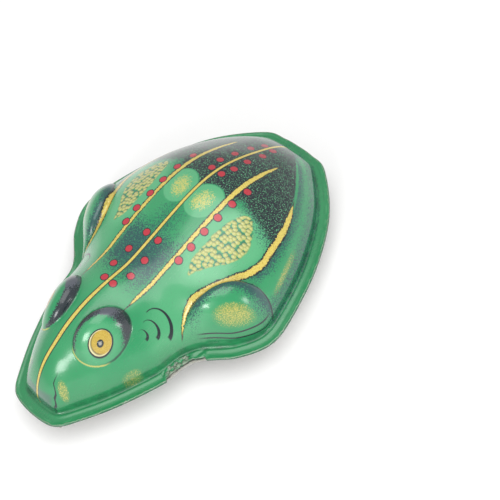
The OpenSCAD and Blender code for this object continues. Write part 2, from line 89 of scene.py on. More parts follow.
class FrogSizes(PropertyGroup):
    """Sizes of the pressed shell"""

    width: length_mm("Width", "Width over the flange at the shoulders", 85.4)
    flange: length_mm("Flange", "Width of the flat flange", 4.5)
    wall: length_mm("Wall", "Height of the upright wall", 3)
    sheet: length_mm("Sheet", "Thickness of the tin", 0.45)
    eye_rise: length_mm("Eye rise", "Rise of the eye domes", 4.8)
    leg_rise: length_mm("Leg rise", "Rise of the leg bumps", 5.8)
    fullness: FloatProperty(name="Fullness", description="Lower is a fuller back", default=0.75)


def ink(name, about, red, green, blue):
    """A colour setting given as 8-bit screen values."""
    value = [c / 255 for c in (red, green, blue)]
    value = [c / 12.92 if c <= 0.04045 else ((c + 0.055) / 1.055) ** 2.4 for c in value]
    return FloatVectorProperty(
        name=name, description=about, subtype="COLOR", size=3, min=0, max=1, default=value
    )


class FrogInks(PropertyGroup):
    """Printing inks and metals"""

    green: ink("Green", "Main green of the skin", 34, 142, 88)
    deep: ink("Deep green", "Green of the skirt and flange", 36, 132, 80)
    pale: ink("Pale green", "Light glow round the granules and in the ovals", 104, 186, 134)
    dark: ink("Dark ink", "Blue-black of the back patch and outlines", 12, 30, 36)
    shade: ink("Shade ink", "Blue-green of the stipple shading", 26, 68, 76)
    plum: ink("Plum ink", "Purple-grey on top of the eye domes", 88, 82, 100)
    yellow: ink("Yellow", "Stripes, iris and stipple", 216, 198, 98)
    amber: ink("Amber", "Iris and the beaded stripes", 180, 150, 54)
    cream: ink("Cream", "Ring round the iris", 222, 212, 158)
    granule: ink("Granule", "Body of the skin granules", 178, 182, 104)
    red: ink("Red", "Spots", 184, 44, 58)
    bare: ink("Bare tin", "Metal where the print is worn", 168, 166, 156)


# ---------------------------------------------------------------- shape of the body


def spline(knots, at, slope=False):
    """Catmull-Rom curve through evenly counted knots, at a knot number."""
    i = np.clip(np.floor(at).astype(int), 1, len(knots) - 3)
    u = (at - i)[:, None]
    a, b, c, d = (knots[i + k] for k in (-1, 0, 1, 2))
    square, cube = 2 * a - 5 * b + 4 * c - d, 3 * b - a - 3 * c + d
    if slope:
        return 0.5 * (c - a + 2 * square * u + 3 * cube * u * u)
    return 0.5 * (2 * b + (c - a) * u + square * u ** 2 + cube * u ** 3)


def flange_edge(width, length, steps):
    """Half outline from snout to tail and its outward directions, in mm."""
    half = np.array(OUTLINE) * (width / 2, length / 2)
    flip = half * (-1, 1)
    knots = np.vstack([flip[1], half, flip[-2]])
    at = 1 + np.arange((len(half) - 1) * steps + 1) / steps
    points, along = spline(knots, at), spline(knots, at, slope=True)
    out = np.stack([along[:, 1], -along[:, 0]], 1)
    return points, out / np.linalg.norm(out, axis=1)[:, None]


def smooth_line(knots, at):
    """Smooth curve through (place, value) pairs."""
    x, y = np.array(knots, float).T
    slope = np.gradient(y, x)
    i = np.clip(np.searchsorted(x, at) - 1, 0, len(x) - 2)
    w = x[i + 1] - x[i]
    u = np.clip((at - x[i]) / w, 0, 1)
    return (
        y[i] * (1 + 2 * u) * (1 - u) ** 2 + w * slope[i] * u * (1 - u) ** 2
        + y[i + 1] * u * u * (3 - 2 * u) + w * slope[i + 1] * u * u * (u - 1)
    )


def oval(x, y, centre, size, turn):
    """0 at the centre of an oval and 1 on its edge."""
    c, s = math.cos(math.radians(turn)), math.sin(math.radians(turn))
    dx, dy = x - centre[0], y - centre[1]
    return ((dx * c + dy * s) / size[0]) ** 2 + ((dy * c - dx * s) / size[1]) ** 2


# Eye dome and leg bump: centre and half sizes in mm, and turn in degrees
EYE = ((9.2, -33.8), (5.75, 9.6), -12)
LEG = ((31.1, -5.2), (15.2, 8.2), 73)
# Stretch of the flange that is torn, and the middle of the dent beside it, in mm
TEAR = (-28.3, -15.8)
DENT = (23.6, -25.2)
EDGE_STEPS = 20  # points along each stretch of the outline
FLANGE_LIFT = 0.5  # outer face of the flange above the base plate, in mm
BACK_ROWS = 60  # rows from the foot of the wall in to the spine
SPINE = 0.74  # the rows close on this share of the middle line


def body_height(x, y, base, wall, power):
    """Height above the flange at x, y inside the foot of the wall."""
    reach = abs(base[0, 1])
    end = np.clip(1 - np.abs(y / reach) ** 6, 0, 1) ** power
    crown = wall + (smooth_line(CROWN, y) - wall) * end
    half = np.interp(y, base[:, 1], base[:, 0])
    across = np.clip(1 - (x / np.maximum(half, 1e-6)) ** 2, 0, 1)
    return wall + (crown - wall) * across ** power


def embossed(x, y, eye_rise, leg_rise):
    """Rise of the eye domes and the leg bumps, with a crisp crease round each."""
    rise = 0
    for (centre, size, turn), height, power in ((EYE, eye_rise, 0.62), (LEG, leg_rise, 0.55)):
        rise = rise + height * np.clip(1 - oval(np.abs(x), y, centre, size, turn), 0, 1) ** power
    return rise


def tear_depth(x, y):
    """1 where the flange is torn, on the left side of the neck."""
    inside = np.clip((y - TEAR[0]) / 0.25, 0, 1) * np.clip((TEAR[1] - y) / 0.25, 0, 1)
    return inside * (x > 0)


def shell_grid(sizes, length, flange_z):
    """Points of the shell, row by row from the rim in to the spine, and their way in from the rim, in mm."""
    edge, out = flange_edge(sizes.width / MM, length, EDGE_STEPS)
    flange, wall = sizes.flange / MM, sizes.wall / MM
    base = edge - out * flange
    count = len(edge) - 1
    order = np.concatenate([np.arange(count + 1), np.arange(count - 1, -1, -1)])
    side = np.where(np.arange(2 * count + 1) <= count, 1.0, -1.0)
    rows, rims = [], []
    jag = 0.5 + 0.5 * np.sin(edge[:, 1] * 1.9 + 1.1 * np.sin(edge[:, 1] * 3.1))
    for inset, lift in reversed(FLANGE):
        torn = tear_depth(side, edge[order, 1])
        cut = torn * (1.0 + 0.35 * jag[order])
        d = cut + inset * (flange - cut) / flange
        p = edge[order] - out[order] * d[:, None]
        crumple = torn * 0.3 * np.sin(p[:, 0] * 3.1 + p[:, 1] * 4.3) * np.sin(p[:, 1] * 2.3 - p[:, 0])
        z = lift * (1 - 0.6 * torn) + crumple * min(1, (flange - inset) / 1.5)
        rows.append(np.column_stack([p[:, 0] * side, p[:, 1], flange_z + z]))
        rims.append(np.full(len(p), inset))
    spine = SPINE * base[:, 1]
    for k in range(BACK_ROWS, -1, -1):
        t = 1 - (1 - k / BACK_ROWS) ** 1.5
        x = base[order, 0] * t
        y = spine[order] + (base[order, 1] - spine[order]) * t
        z = body_height(x, y, base, wall, sizes.fullness)
        z = z + embossed(x, y, sizes.eye_rise / MM, sizes.leg_rise / MM) * (1 - t ** 10)
        away = np.hypot(x * side - DENT[0], y - DENT[1])
        dent = 0.55 * np.exp(-(((away - 2.4) / 0.45) ** 2)) - 0.7 * np.exp(-((away / 1.7) ** 2))
        z = z + (side > 0) * dent * (1 - t ** 6)
        rows.append(np.column_stack([x * side, y, flange_z + z]))
        rims.append(flange + np.hypot(*(base[order] - np.column_stack([x, y])).T))
    return np.array(rows), np.array(rims)


# ---------------------------------------------------------------- materials


class Term:
    """One value in a material's node tree, so that a pattern reads as plain sums."""

    def __init__(self, tree, socket):
        self.tree, self.socket = tree, socket

    def op(self, name, *others):
        """One step of arithmetic on this value and others."""
        node = self.tree.nodes.new("ShaderNodeMath")
        node.operation = name
        for slot, value in zip(node.inputs, (self, *others)):
            if isinstance(value, Term):
                self.tree.links.new(value.socket, slot)
            else:
                slot.default_value = value
        return Term(self.tree, node.outputs[0])

    def __add__(self, other):
        return self.op("ADD", other)

    def __sub__(self, other):
        return self.op("SUBTRACT", other)

    def __mul__(self, other):
        return self.op("MULTIPLY", other)

    def __truediv__(self, other):
        return self.op("DIVIDE", other)

    def size(self):
        """The value without its sign."""
        return self.op("ABSOLUTE")

    def least(self, other):
        """The smaller of two values."""
        return self.op("MINIMUM", other)

    def most(self, other):
        """The larger of two values."""
        return self.op("MAXIMUM", other)

    def ramp(self, low, high):
        """0 below low and 1 above high, smooth between; swapped limits fall instead."""
        node = self.tree.nodes.new("ShaderNodeMapRange")
        node.interpolation_type = "SMOOTHSTEP"
        self.tree.links.new(self.socket, node.inputs["Value"])
        up = low < high
        node.inputs["From Min"].default_value = min(low, high)
        node.inputs["From Max"].default_value = max(low, high)
        node.inputs["To Min"].default_value = 0 if up else 1
        node.inputs["To Max"].default_value = 1 if up else 0
        return Term(self.tree, node.outputs["Result"])

    def within(self, low, high, soft=0.5):
        """1 between two limits and 0 outside, smooth over soft either side of each."""
        return self.ramp(low - soft, low + soft) * self.ramp(high + soft, high - soft)

    def along(self, knots, scale=50.0):
        """Smooth curve through (place from -65 to 65, value) pairs, in mm."""
        node = self.tree.nodes.new("ShaderNodeFloatCurve")
        curve = node.mapping.curves[0]
        places = [((at + 65) / 130, value / scale) for at, value in knots]
        curve.points[0].location, curve.points[1].location = places[0], places[-1]
        for place in places[1:-1]:
            curve.points.new(*place)
        node.mapping.update()
        self.tree.links.new(((self + 65.0) / 130.0).socket, node.inputs["Value"])
        return Term(self.tree, node.outputs[0]) * scale


class Finish:
    """A new material with helpers that add its nodes; lengths are in mm."""

    def __init__(self, name):
        self.material = bpy.data.materials.new(name)
        self.material.use_nodes = True
        self.tree = self.material.node_tree
        self.shader = self.tree.nodes["Principled BSDF"]
        coords = self.tree.nodes.new("ShaderNodeTexCoord")
        grow = self.tree.nodes.new("ShaderNodeMapping")
        grow.inputs["Scale"].default_value = (1000, 1000, 1000)
        self.tree.links.new(coords.outputs["Object"], grow.inputs["Vector"])
        self.place = grow.outputs["Vector"]
        split = self.tree.nodes.new("ShaderNodeSeparateXYZ")
        self.tree.links.new(self.place, split.inputs[0])
        self.x, self.y, self.z = (Term(self.tree, split.outputs[i]) for i in range(3))

    def noise(self, scale, detail=2.0, stretch=None):
        """Cloudy values round 0.5; scale is features to the millimetre."""
        node = self.tree.nodes.new("ShaderNodeTexNoise")
        node.inputs["Scale"].default_value = scale
        node.inputs["Detail"].default_value = detail
        source = self.place
        if stretch:
            squeeze = self.tree.nodes.new("ShaderNodeMapping")
            squeeze.inputs["Scale"].default_value = stretch
            self.tree.links.new(source, squeeze.inputs["Vector"])
            source = squeeze.outputs["Vector"]
        self.tree.links.new(source, node.inputs["Vector"])
        return Term(self.tree, node.outputs["Fac"])

    def cells(self, scale, place=None):
        """Distance to the nearest of scattered points, seen from above."""
        node = self.tree.nodes.new("ShaderNodeTexVoronoi")
        node.voronoi_dimensions = "2D"
        node.inputs["Randomness"].default_value = 0.7
        node.inputs["Scale"].default_value = scale
        self.tree.links.new(place or self.place, node.inputs["Vector"])
        return Term(self.tree, node.outputs["Distance"])

    def rim(self):
        """Way in from the outer edge of the flange, as the mesh holds it."""
        node = self.tree.nodes.new("ShaderNodeAttribute")
        node.attribute_name = "rim"
        return Term(self.tree, node.outputs["Fac"])

    def from_point(self, across, x, y):
        """Distance from a point, seen from above."""
        dx, dy = across - x, self.y - y
        return (dx * dx + dy * dy).op("SQRT")

    def in_oval(self, across, centre, size, turn=0):
        """0 at the centre of an oval and 1 on its edge."""
        c, s = math.cos(math.radians(turn)), math.sin(math.radians(turn))
        dx, dy = across - centre[0], self.y - centre[1]
        u, v = (dx * c + dy * s) / size[0], (dy * c - dx * s) / size[1]
        return u * u + v * v

    def coat(self, under, mask, over):
        """One colour laid over another where the mask is 1."""
        node = self.tree.nodes.new("ShaderNodeMix")
        node.data_type = "RGBA"
        self.tree.links.new(mask.socket, node.inputs["Factor"])
        for slot, colour in ((node.inputs[6], under), (node.inputs[7], over)):
            if isinstance(colour, Term):
                self.tree.links.new(colour.socket, slot)
            else:
                slot.default_value = (*colour, 1)
        return Term(self.tree, node.outputs[2])

    def set(self, name, value):
        """Gives one of the shader's sockets a number or a pattern."""
        slot = self.shader.inputs[name]
        if isinstance(value, Term):
            self.tree.links.new(value.socket, slot)
        else:
            slot.default_value = value

    def bump(self, height, strength, distance):
        """Relief of the given height pattern."""
        node = self.tree.nodes.new("ShaderNodeBump")
        node.inputs["Strength"].default_value = strength
        node.inputs["Distance"].default_value = distance
        self.tree.links.new(height.socket, node.inputs["Height"])
        self.tree.links.new(node.outputs[0], self.shader.inputs["Normal"])


# ---------------------------------------------------------------- the printed pattern

# Places are in mm: "across" is the distance from the middle line, and y runs from the snout (-) to the
# tail (+). A line is a run of (y, across) pairs and a width a run of (y, half width) pairs, and each goes
# on past both ends of the body. An oval is its centre, its half sizes and its turn in degrees.
SIDE_LINE = (
    (-65, 9.7), (-19, 9.7), (0, 10.3), (12, 10.4), (22, 10.1), (32, 9.5), (45, 8.8), (65, 8.5),
)
OUTER_LINE = (
    (-65, 24), (-20, 23.9), (-17.2, 23.1), (-14.1, 21.9), (-11, 21.2), (-8, 21.1), (-4.9, 21.9),
    (-1.8, 23.2), (1.3, 24.6), (4.2, 25.9), (7.2, 27.1), (10.7, 28.2), (15.7, 28.5), (18.6, 27.9),
    (24.7, 26.5), (31, 24.4), (38, 20.8), (45, 16), (52, 9.4), (56, 4), (65, 0),
)
MID_WIDTH = (
    (-65, 0.26), (-58, 0.3), (-45, 0.5), (-30, 0.52), (-20, 0.45), (0, 0.42), (30, 0.4), (57, 0.4),
    (65, 0.4),
)
SIDE_WIDTH = (
    (-65, 0.02), (-23, 0.04), (-19, 0.3), (-10, 0.48), (10, 0.56), (35, 0.6), (42, 0.36), (46, 0.02),
    (65, 0),
)
OUTER_WIDTH = (
    (-65, 0.02), (-17, 0.04), (-14, 0.3), (-9, 0.6), (20, 0.66), (34, 0.5), (39, 0.02), (65, 0),
)
# Edge of the dark patch towards the tail
TAIL_EDGE = (
    (-65, 40), (36, 40), (39.3, 20.4), (42.8, 17.5), (47.4, 13.5), (52.4, 8.8), (56.6, 3.6), (58.5, 0),
    (65, 0),
)
# Inner and outer edge of the granule patch
PATCH_IN = (
    (-65, 16), (-4, 16.2), (1, 14.3), (5, 14.5), (10, 14.4), (16, 15), (21, 16.2), (24, 18.5), (65, 18.5),
)
PATCH_OUT = (
    (-65, 16.4), (-4, 16.6), (1, 18.8), (5, 21.4), (9, 23.4), (14, 23.9), (19, 22.0), (24, 18.6),
    (65, 18.6),
)
# Yellow band on the skirt behind the leg
SKIRT_BAND = (
    (-65, 38), (8, 35.8), (13, 34.8), (19, 33.0), (25, 31.0), (31, 28.8), (36, 26.4), (65, 12),
)
# Crack of the mouth
CRACK = (
    (-65, 7.0), (-57.2, 6.6), (-56.2, 7.0), (-55.4, 6.3), (-54.3, 6.3), (-53.5, 5.7), (-52.6, 5.1),
    (-50.8, 5.0), (-48.9, 4.9), (65, 5),
)
# Two lines under the leg bump, as (y, height above the flange) pairs
LEG_LINES = (
    ((-65, 5.4), (-14, 5.4), (-9, 5.2), (-5, 3.8), (0, 3.1), (4.3, 2.4), (8, 3.2), (65, 4)),
    ((-65, 7.2), (-14, 7.2), (-9, 7.4), (-5, 6.2), (0, 5.7), (4.3, 5.1), (8, 5.2), (65, 5)),
)
# Pale oval of painted sheen on the shoulder
SHOULDER_SHEEN = ((20.0, -10.0), (9.0, 17.0))
GRANULE_GLOW = ((18.8, 10.5), (8.6, 15.5), -12)
BACK_OVAL = ((5.0, 16.8), (5.3, 6.6), -14)
OVAL_HEART = ((4.7, 16.6), (3.4, 4.8), -14)
LEG_PATCH = ((32.6, -2.4), (6.2, 2.1), 54)
SNOUT_PATCH = ((7.7, -52.2), (1.5, 1.9), 35)
CHEEK_PATCH = ((18.6, -35.0), (0.8, 3.4), -20)
EYE_HOOD = ((10.6, -36.6), (4.9, 7.9), -12)
EYE_GLOW = ((11.2, -35.9), (2.2, 4.0), -13)
IRIS = ((11.4, -36.05), (2.15, 4.0), -14)
# Set off from the iris so that the cream ring shows as a painted highlight on the snout side
AMBER = ((11.55, -35.7), (2.15, 4.0), -14)
PUPIL = ((11.6, -36.25), (2.15, 4.0), -14)
IRIS_SPAN = 3.2  # an iris measure of this much is the edge of its oval
SPOTS = (
    (11.6, -2.2), (11.9, 3.2), (11.8, 9.4), (11.9, 15.4), (11.9, 21.8), (11.8, 28.6), (2.5, -1.5),
    (3.5, -8.7), (3.8, -15.1), (1.9, -20.5), (2.1, 27.7), (3.0, 32.1), (2.7, 38.0), (2.6, 44.5),
    (1.8, 49.7),
)
# Gill strokes: across, y, radius and weight
GILLS = ((16.5, -25.0, 1.2, 0.24), (16.9, -22.2, 2.15, 0.3), (17.3, -19.4, 3.55, 0.36))
PEBBLE = 0.74  # granules to the millimetre
PEBBLE_LIGHT = (0.2, -0.24, 0.0)  # way to the lit side of a granule
FLANGE_TOP = 10.9  # height of the flange above the table
TEAR_HEART = (26.2, -22.8)


class Skin(Finish):
    """The printed skin, the same on both sides. Each method prints one thing over what is there."""

    def __init__(self, inks):
        super().__init__("printed_tin")
        self.inks = inks
        self.colour = inks.green
        self.across = self.x.size()
        self.wander = (self.noise(0.35, 1.0) - 0.5) * 0.7
        self.rough = (self.noise(2.2, 1.0) - 0.5) * 0.55
        self.grit = self.noise(2.9, 0.0)
        self.fine = self.noise(4.1, 0.0)
        self.edge = self.rim()
        self.side = self.y.along(SIDE_LINE)
        self.outer = self.y.along(OUTER_LINE)
        self.eye = self.in_oval(self.across, *EYE)
        self.leg = self.in_oval(self.across, *LEG)
        self.glow = self.in_oval(self.across, *GRANULE_GLOW)
        self.back_oval = self.in_oval(self.across, *BACK_OVAL)

    def lay(self, mask, over):
        """Prints an ink where the mask is 1."""
        self.colour = self.coat(self.colour, mask, over)

    def dots(self, density):
        """Stipple: more dots as the density goes from 0 to 1."""
        speck = self.grit * 0.45 + self.fine * 0.55 + (density - 0.5) * 0.3
        return speck.ramp(0.49, 0.53) * density.ramp(0.0, 0.15)

    def ground(self):
        """Green that deepens on the skirt and flange, painted shade that deepens it towards the snout, a
        mottled glaze, a painted sheen on the shoulder and a soft glow round the granules.
        """
        inks, y = self.inks, self.y
        self.lay(self.noise(0.06, 2.0).ramp(0.35, 0.7) * 0.25, inks.pale)
        # Painted sheen: a pale oval on the shoulder
        self.lay(self.in_oval(self.across, *SHOULDER_SHEEN).ramp(1.2, 0.1) * 0.4, inks.pale)
        self.lay(self.edge.ramp(7.5, 4.0) * 0.8, inks.deep)
        # Painted shade: the green darkens towards the snout
        self.lay(y.ramp(-36.0, -50.0) * 0.45, inks.deep)
        chin = (self.z - FLANGE_TOP).within(0.8, 8.0, 1.0) * y.ramp(-53.5, -56.5)
        self.lay(chin * self.across.ramp(6.5, 4.5) * 0.5, inks.plum)
        self.lay(self.glow.ramp(1.35, 0.55) * 0.6, inks.pale)

    def back_patch(self):
        """Dark patches on the back, broken up into stipple at their edges, with pale dots."""
        inks, x, y = self.inks, self.across, self.y
        near_mid = y.ramp(11.0, 24.0) * (x - self.side).ramp(1.7, 0.5) * self.back_oval.ramp(0.95, 1.25)
        flank = (x - self.side).ramp(0.2, 1.2) * (self.outer - x).ramp(-0.2, 0.8)
        behind = (y + (x - 10.0) * 0.25).ramp(20.0, 31.0)
        around = self.glow.ramp(1.15, 2.3) * y.ramp(8.0, 20.0)
        inside_tail = (x - y.along(TAIL_EDGE)).ramp(0.4, -0.2)
        patch = near_mid.most(behind.most(around) * flank) * inside_tail
        solid = (patch + (self.grit - 0.5) * 0.8).ramp(0.45, 0.72)
        self.lay(self.dots(patch * 1.1) * 0.9, inks.shade)
        self.lay(solid, inks.dark)
        pale_dots = (self.noise(3.4, 0.0) + self.noise(1.9, 0.0) * 0.3).ramp(0.77, 0.86)
        self.lay(solid * pale_dots * 0.75, inks.pale)

    def shading(self):
        """Stipple on the neck, over the leg bump, under the outer stripe and round the skirt."""
        x, y, shade = self.across, self.y, self.inks.shade
        neck = (self.side - x).ramp(-0.2, 2.5) * y.within(-16.5, 1.0, 6.0)
        inner_dark = (self.side - x).ramp(3.0, 9.0) * y.ramp(-14.0, -4.0) * y.ramp(17.0, 2.0)
        leg_edge = self.leg.ramp(0.15, 0.85) * self.leg.ramp(1.02, 0.98)
        leg_top = leg_edge * (y * 0.45 - x).ramp(-39.5, -29.0) * y.ramp(-16.0, -6.0)
        past_outer = x - self.outer
        below_line = past_outer.ramp(0.2, 0.9) * past_outer.ramp(4.2, 1.0) * y.within(9.0, 60.0, 2.0)
        skirt = self.edge.within(3.6, 6.4, 1.4) * y.within(6.0, 62.0, 4.0)
        density = (neck * 0.85).most(inner_dark * 0.5).most(leg_top * 1.3)
        density = density.most(below_line * 0.8).most(skirt * 0.6)
        self.lay(self.dots(density) * 0.9, shade)
        self.lay(neck * self.from_point(x, 1.5, -7.0).ramp(11.0, 1.0) * 0.3, shade)

    def ovals(self):
        """Pale ovals beside the middle line, each with a yellow heart."""
        self.lay(self.back_oval.ramp(1.05, 0.9) * 0.55, self.inks.pale)
        heart = self.in_oval(self.across, *OVAL_HEART).ramp(1.2, 0.0)
        self.lay(self.dots(heart * 0.7) * 0.75, self.inks.yellow)

    def granules(self):
        """Light pebbles, each shaded on its lower side. Gives their relief."""
        inks, x, y = self.inks, self.across, self.y
        inside = (x - y.along(PATCH_IN) + self.wander).ramp(-0.3, 0.3)
        inside = inside * (y.along(PATCH_OUT) - x + self.wander).ramp(-0.3, 0.3)
        inside = inside * y.within(-3.4, 22.6, 0.3)
        shift = self.tree.nodes.new("ShaderNodeMapping")
        shift.inputs["Location"].default_value = PEBBLE_LIGHT
        self.tree.links.new(self.place, shift.inputs["Vector"])
        pebble, lower = self.cells(PEBBLE), self.cells(PEBBLE, shift.outputs[0])
        lit = (lower - pebble).ramp(-0.14, 0.12)
        self.lay(inside * 0.65, inks.deep)
        self.lay(inside * pebble.ramp(0.60, 0.48), inks.granule)
        self.lay(inside * pebble.ramp(0.22, 0.5) * lit.ramp(0.7, 0.0) * 0.5, inks.shade)
        self.lay(inside * pebble.ramp(0.4, 0.1) * lit.ramp(0.4, 0.9) * 0.35, inks.cream)
        return inside * pebble.ramp(0.62, 0.0) * 0.45

    def yellow_patches(self):
        """Yellow stipple on the leg, snout, cheek and skirt."""
        x, y = self.across, self.y
        density = self.in_oval(x, *LEG_PATCH).ramp(1.4, 0.0) * 0.85
        density = density.most(self.in_oval(x, *SNOUT_PATCH).ramp(1.4, 0.0) * 0.75)
        density = density.most(self.in_oval(x, *CHEEK_PATCH).ramp(1.4, 0.0) * 0.42)
        band = (x - y.along(SKIRT_BAND)).size()
        density = density.most(band.ramp(0.9, 0.1) * y.within(14.0, 25.0, 4.0) * 0.55)
        self.lay(density * 0.4, self.inks.amber)
        self.lay(self.dots(density * 0.62) * 0.6, self.inks.yellow)

    def eye_measure(self, place):
        """0 at the middle of an iris oval and IRIS_SPAN on its edge."""
        return self.in_oval(self.across, *place).op("SQRT") * IRIS_SPAN

    def eyes(self):
        """Stippled plum hood, thin outline and an iris with a bead, with a painted highlight and painted
        shade on the rim of the iris. Gives the bead's relief.
        """
        inks, x, y = self.inks, self.across, self.y
        on_dome = self.eye.ramp(1.0, 0.94)
        hood = self.in_oval(x, *EYE_HOOD).ramp(0.72, 1.4) * on_dome
        self.lay(on_dome * self.in_oval(x, *EYE_GLOW).ramp(3.2, 1.2) * 0.3, inks.pale)
        self.lay((hood + (self.grit - 0.5) * 1.2).ramp(0.15, 0.8) * 0.92, inks.plum)
        to_ends = (x - 9.4 + (y + 34.0) * 0.2).size().ramp(0.6, 3.6) * 1.15
        self.lay(self.dots(hood * to_ends) * 0.9, inks.dark)
        self.lay((self.eye - 1.0).size().ramp(0.06, 0.02) * y.ramp(-41.0, -35.0) * 0.8, inks.dark)
        low_front = (x * 0.5 - y).ramp(44.0, 46.0)
        self.lay((self.eye - 1.02).size().ramp(0.05, 0.01) * low_front * 0.65, inks.yellow)

        iris = self.eye_measure(IRIS) + self.rough * 0.16
        self.lay(iris.ramp(3.4, 3.2), inks.dark)
        # The cream ring, left wide on the snout side by the set-off amber disc, is a painted highlight on
        # the raised rim of the iris
        self.lay(iris.ramp(3.0, 2.85), inks.cream)
        amber = self.eye_measure(AMBER)
        disc = amber.ramp(2.8, 2.65) * iris.ramp(2.95, 2.85)
        self.lay(disc, inks.amber)
        self.lay(self.fine.ramp(0.45, 0.58) * disc * 0.35, inks.yellow)
        # Painted shade: a dark crescent inside the cream ring on the snout side
        shaded_side = (x * 0.9 + y).ramp(-25.0, -28.0)
        self.lay((amber - 2.7).size().ramp(0.35, 0.03) * shaded_side * 0.6, inks.dark)
        pupil = self.eye_measure(PUPIL)
        self.lay(pupil.ramp(0.98, 0.8), inks.dark)
        self.lay(pupil.ramp(0.55, 0.3) * 0.9, inks.bare)
        return pupil.ramp(0.9, 0.1) * 1.2 + pupil.ramp(3.4, 3.0) * 0.6

    def leg_outline(self):
        """Outline of the leg bump: single above, double where it meets the wall."""
        x, y, dark = self.across, self.y, self.inks.dark
        height = self.z - FLANGE_TOP
        upper = (x + y).ramp(30.0, 34.0) * height.ramp(1.4, 2.2)
        self.lay((self.leg - 0.97).size().ramp(0.05, 0.02) * upper * 0.85, dark)
        along_leg = y.within(-12.5, 6.0, 1.5) * (x - self.outer).ramp(0.5, 1.5)
        for knots in LEG_LINES:
            off = (height - y.along(knots)).size()
            self.lay(off.ramp(0.42, 0.18) * along_leg, dark)

    def gills_and_mouth(self):
        """Three curved strokes behind the eye and the ragged crack of the mouth."""
        x, y, dark = self.across, self.y, self.inks.dark
        for gx, gy, radius, weight in GILLS:
            off = (self.from_point(x, gx, gy) - radius).size()
            off = off + (x - gx - radius * 0.7).size() * (0.22 / radius)
            self.lay(off.ramp(weight + 0.22, weight + 0.04) * (y - gy).ramp(-0.6, 0.0), dark)
        off = (x + self.wander * 0.5 - y.along(CRACK)).size()
        off = off + self.rough.size() * 0.4 + y.ramp(-55.5, -49.5) * 0.26
        self.lay(off.ramp(0.4, 0.2) * y.within(-57.2, -49.5, 0.8), dark)

    def stripes(self):
        """Yellow stripes with a ragged dark edge and tapered ends."""
        inks, x, y = self.inks, self.across, self.y
        off_side = (x - self.side + self.wander * 0.4).size()
        off_outer = (x - self.outer + self.wander * 0.5).size()
        beads = (self.noise(2.2, 0.0) - 0.5).size().ramp(0.09, 0.02)
        for off, knots, rag, first, last in (
            (x, MID_WIDTH, 0.3, -57.9, 57.6),
            (off_side, SIDE_WIDTH, 1.3, -26.0, 46.5),
            (off_outer, OUTER_WIDTH, 1.6, -17.0, 39.5),
        ):
            width = y.along(knots)
            ends = y.within(first, last, 0.5)
            off = off + self.rough * rag * width.ramp(0.0, 0.4)
            inside = (off - width).ramp(0.1, -0.1)
            self.lay((off - width * 1.45 - 0.08).ramp(0.12, -0.1) * ends, inks.dark)
            self.lay(inside * width.ramp(0.08, 0.2) * ends, inks.yellow)
            self.lay(inside * beads * ends * 0.75, inks.amber)

    def spots(self):
        """Red spots with a thin dark edge, fainter towards the tail."""
        nearest = None
        for spot in SPOTS:
            away = self.from_point(self.across, *spot)
            nearest = away if nearest is None else nearest.least(away)
        nearest = nearest + self.rough * 0.6
        self.lay(nearest.ramp(1.48, 1.32), self.inks.dark)
        fade = self.y.ramp(62.0, 18.0) * 0.35 + 0.65
        self.lay(nearest.ramp(1.2, 1.04) * fade, self.inks.red)

    def wear(self):
        """Rubbed rim, torn neck flange and scratches, with painted shade in the flange groove and at the
        foot of the wall and a painted highlight along the flange bead. Gives the bare metal and the torn
        relief.
        """
        inks, edge = self.inks, self.edge
        self.lay((edge - 0.14).ramp(0.16, 0.0) * 0.6, inks.dark)
        rubbed = (edge - 0.35 + (self.noise(0.7, 3.0) - 0.5) * 1.4).size().ramp(0.14, 0.02)
        tear = self.from_point(self.x, *TEAR_HEART).ramp(7.0, 4.0) * edge.ramp(5.2, 3.2)
        scuffs = self.noise(1.1, 4.0, (1.0, 0.5, 1.0))
        torn = (tear * scuffs * 1.7).ramp(0.72, 0.95)
        scratches = (self.noise(0.5, 3.0, (6.0, 0.25, 1.0)) - 0.5).size().ramp(0.012, 0.0)
        scratches = scratches * self.noise(0.08, 1.0).ramp(0.5, 0.62)
        worn = rubbed.most(torn).most(scratches * 0.25)
        self.lay(tear * (scuffs - 0.5).size().ramp(0.05, 0.0) * 0.7, inks.dark)
        self.lay(worn * 0.6, inks.bare)
        # Painted highlight: a pale line along the inner side of the flange bead
        self.lay(edge.within(1.0, 1.3, 0.25) * self.noise(0.25, 2.0).ramp(0.45, 0.65) * 0.35, inks.pale)
        # Painted shade: a dark line in the flange groove
        self.lay(edge.within(1.8, 2.0, 0.25) * self.noise(0.2, 2.0).ramp(0.4, 0.65) * 0.3, inks.dark)
        # Painted shade: a dark band at the foot of the wall
        self.lay(edge.within(3.5, 4.6, 0.35) * 0.45 * self.noise(0.3, 2.0).ramp(0.3, 0.7), inks.dark)
        return worn, torn * scuffs * 1.2


def printed_tin(inks):
    """Gloss printed tin: stripes, spots, ovals, granules, eyes and stipple on green."""
    skin = Skin(inks)
    skin.ground()
    skin.back_patch()
    skin.shading()
    skin.ovals()
    pebbles = skin.granules()
    skin.yellow_patches()
    beads = skin.eyes()
    skin.leg_outline()
    skin.gills_and_mouth()
    skin.stripes()
    skin.spots()
    worn, ragged = skin.wear()

    skin.set("Base Color", skin.colour)
    skin.set("Metallic", worn * 0.55)
    skin.set("Roughness", worn * 0.25 + skin.noise(0.15, 3.0) * 0.12 + 0.2)
    skin.set("Coat Weight", 0.5)
    skin.set("Coat Roughness", 0.13)
    skin.bump(pebbles + beads + skin.noise(0.12, 1.0) * 0.8 + ragged, 0.6, 0.0005)
    return skin.material


def plain_metal(name, colour, roughness, grain=0.4, stretch=None, stain=(0.2, 0.15, 0.1), amount=0.25):
    """Bare metal with fine grain, handling marks and a little tarnish."""
    m = Finish(name)
    tone = m.noise(0.4, 4.0)
    base = m.coat(colour, tone.ramp(0.45, 0.75) * amount, stain)
    streak = m.noise(1.5, 3.0, stretch or (1.0, 1.0, 1.0))
    m.set("Base Color", base)
    m.set("Metallic", 1.0)
    m.set("Roughness", tone * 0.2 + streak * 0.15 + (roughness - 0.15))
    m.bump(streak, grain, 0.00005)
    return m.material


